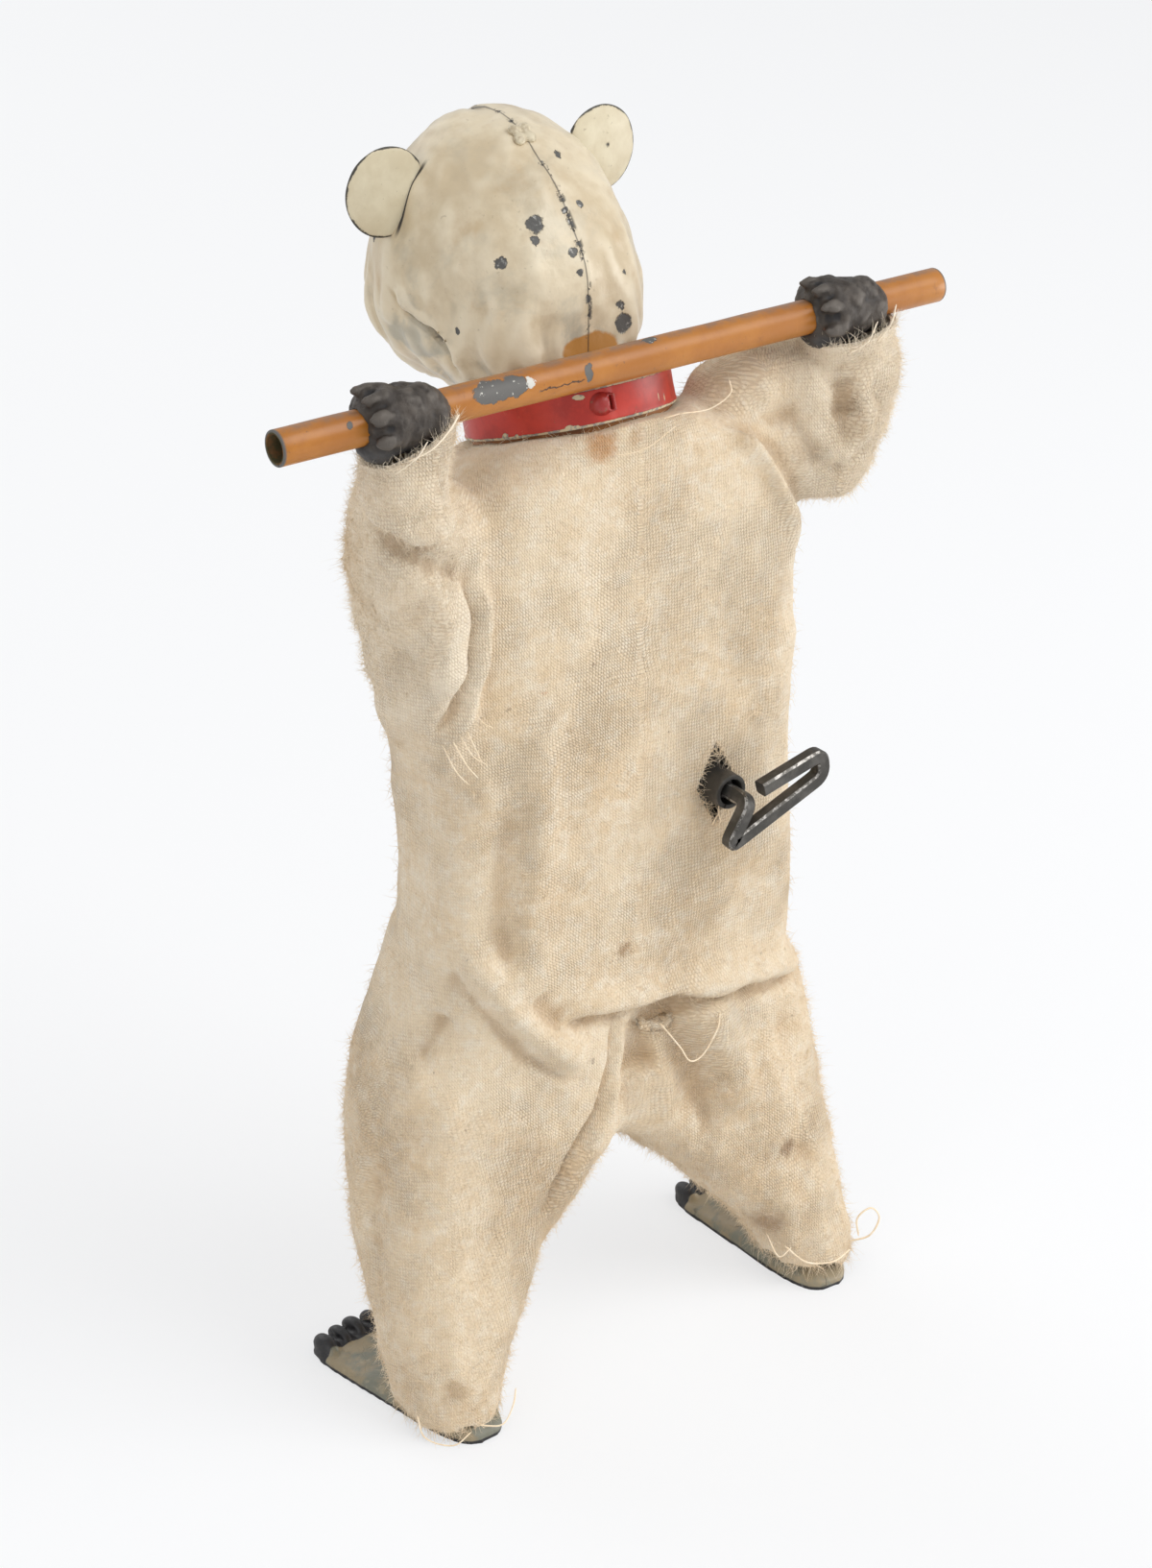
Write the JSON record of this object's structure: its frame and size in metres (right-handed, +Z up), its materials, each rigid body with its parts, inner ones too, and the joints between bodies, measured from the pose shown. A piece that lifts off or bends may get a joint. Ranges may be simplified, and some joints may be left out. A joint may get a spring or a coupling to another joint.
{
  "type": "clockwork bear toy",
  "caption": "Standing clockwork bear with a pressed tin head, a flannel suit over a spring motor, cast paws on a tin pole, and splayed cast feet that swing to walk it.",
  "frame": {"origin": "middle of the toy's outline seen from above, at the height of the soles", "axes": "+Z up, the bear faces -Y, its own left hand is towards +X"},
  "size_m": [0.117, 0.0747, 0.1957],
  "materials": {
    "flannel": "napped cream cotton flannel, stained and rubbed thin",
    "head_paint": "ivory paint on pressed tin, chipped to grey metal",
    "collar_paint": "glossy red paint, chipped along its edges",
    "pole_paint": "ochre paint on rolled tin, worn dark at the edges",
    "paw_metal": "dark cast metal, rubbed",
    "foot_paint": "grey-green cream paint on a casting, black at the claws",
    "black_paint": "gloss black paint",
    "dark_steel": "blackened steel wire and rod",
    "tinplate": "bare tinplate",
    "wheel_brass": "stamped brass",
    "flywheel_iron": "dull cast"
  },
  "bodies": {
    "bear": {"suit_body": "flannel", "neck_cup": "pole_paint", "collar": "collar_paint", "collar_stud": "collar_paint", "head_half_left": "head_paint", "head_half_right": "head_paint", "ear_left": "head_paint", "ear_right": "head_paint", "eye_left": "black_paint", "eye_right": "black_paint", "nose": "black_paint", "crown_tab": "head_paint", "side_plate_left": "tinplate", "side_plate_right": "tinplate", "front_plate": "tinplate", "back_plate": "tinplate", "pillar_upper_left": "dark_steel", "pillar_upper_right": "dark_steel", "pillar_lower_left": "dark_steel", "pillar_lower_right": "dark_steel", "hip_axle": "dark_steel", "shoulder_axle": "dark_steel", "neck_bridge": "tinplate", "second_stud": "dark_steel", "spring_post": "dark_steel", "mainspring": "dark_steel"},
    "winding": {"key": "dark_steel", "key_sleeve": "dark_steel", "winding_arbor": "dark_steel", "ratchet_wheel": "dark_steel"},
    "great_wheel": {"great_wheel": "wheel_brass", "click": "dark_steel", "click_spring": "dark_steel"},
    "second_wheel": {"second_pinion": "dark_steel", "crown_wheel": "wheel_brass"},
    "crankshaft": {"crankshaft": "dark_steel", "crank_pinion": "dark_steel", "flywheel": "flywheel_iron", "crank_left": "dark_steel", "crank_right": "dark_steel"},
    "leg_left": {"trouser_leg_left": "flannel", "foot_left": "foot_paint", "leg_wire_left": "dark_steel", "leg_lever_left": "tinplate"},
    "leg_right": {"trouser_leg_right": "flannel", "foot_right": "foot_paint", "leg_wire_right": "dark_steel", "leg_lever_right": "tinplate"},
    "arms": {"pole": "pole_paint", "paw_left": "paw_metal", "paw_right": "paw_metal", "arm_wire_left": "dark_steel", "arm_wire_right": "dark_steel", "sleeve_left": "flannel", "sleeve_right": "flannel"}
  },
  "joints": [
    {"name": "winding_turn", "type": "hinge", "parent": "bear", "child": "winding", "pos_m": [-0.0147, 0.0213, 0.0965], "axis": [0, 1, 0], "continuous": true},
    {"name": "great_wheel_turn", "type": "hinge", "parent": "bear", "child": "great_wheel", "pos_m": [-0.0147, 0.0213, 0.0965], "axis": [0, 1, 0], "continuous": true},
    {"name": "second_wheel_turn", "type": "hinge", "parent": "bear", "child": "second_wheel", "pos_m": [-0.0065, 0.0213, 0.08673], "axis": [0, 1, 0], "continuous": true},
    {"name": "crank_turn", "type": "hinge", "parent": "bear", "child": "crankshaft", "pos_m": [0, 0.01558, 0.08673], "axis": [1, 0, 0], "continuous": true},
    {"name": "hip_left", "type": "hinge", "parent": "bear", "child": "leg_left", "pos_m": [0, 0.0125, 0.062], "axis": [1, 0, 0], "range_deg": [-6, 6]},
    {"name": "hip_right", "type": "hinge", "parent": "bear", "child": "leg_right", "pos_m": [0, 0.0125, 0.062], "axis": [1, 0, 0], "range_deg": [-6, 6]},
    {"name": "shoulders", "type": "hinge", "parent": "bear", "child": "arms", "pos_m": [0, 0.0135, 0.138], "axis": [-1, 0, 0], "range_deg": [0, 12]}
  ],
  "couplings": [
    {"joint": "second_wheel_turn", "follows": "great_wheel_turn", "ratio": -3.2},
    {"joint": "crank_turn", "follows": "great_wheel_turn", "ratio": 9.6},
    {"joint": "hip_right", "follows": "hip_left", "ratio": -1}
  ]
}
